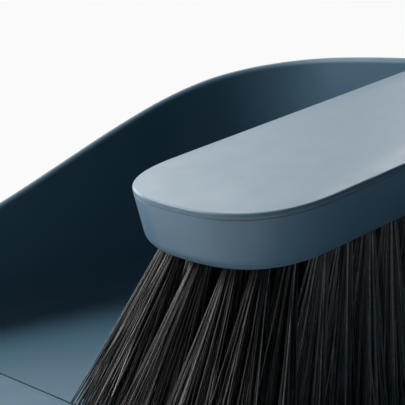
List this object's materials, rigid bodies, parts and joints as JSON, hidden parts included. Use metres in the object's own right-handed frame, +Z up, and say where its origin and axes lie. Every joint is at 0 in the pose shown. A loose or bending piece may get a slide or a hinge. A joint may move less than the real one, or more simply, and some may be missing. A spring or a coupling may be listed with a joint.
{
  "type": "dustpan and brush",
  "caption": "Handheld dustpan with soft front lip and trough handle, with a tufted bristle brush nested in it; the brush lifts off.",
  "frame": {"origin": "bottom centre of the whole set's box, on the surface that the pan stands on", "axes": "+X across the pan, +Y from the lip towards the handles, +Z up"},
  "size_m": [0.227, 0.3018, 0.0962],
  "materials": {
    "pan_plastic": "satin",
    "brush_plastic": "satin",
    "lip_rubber": "matte",
    "bristle": "semi-gloss",
    "anchor_wire": "satin"
  },
  "bodies": {
    "pan": {"pan_shell": "pan_plastic", "front_lip": "lip_rubber"},
    "brush": {"brush_block": "brush_plastic", "brush_top_cover": "brush_plastic", "tufts_front_outer": "bristle", "tufts_left_outer": "bristle", "tufts_right_outer": "bristle", "tufts_front_inner": "bristle", "tufts_left_inner": "bristle", "tufts_right_inner": "bristle", "tufts_centre": "bristle", "anchors_front_outer": "anchor_wire", "anchors_left_outer": "anchor_wire", "anchors_right_outer": "anchor_wire", "anchors_front_inner": "anchor_wire", "anchors_left_inner": "anchor_wire", "anchors_right_inner": "anchor_wire", "anchors_centre": "anchor_wire"}
  },
  "joints": [
    {"name": "brush_lift", "type": "slide", "parent": "pan", "child": "brush", "axis": [0, -0.1338, 0.991], "range_m": [0, 0.1]}
  ]
}
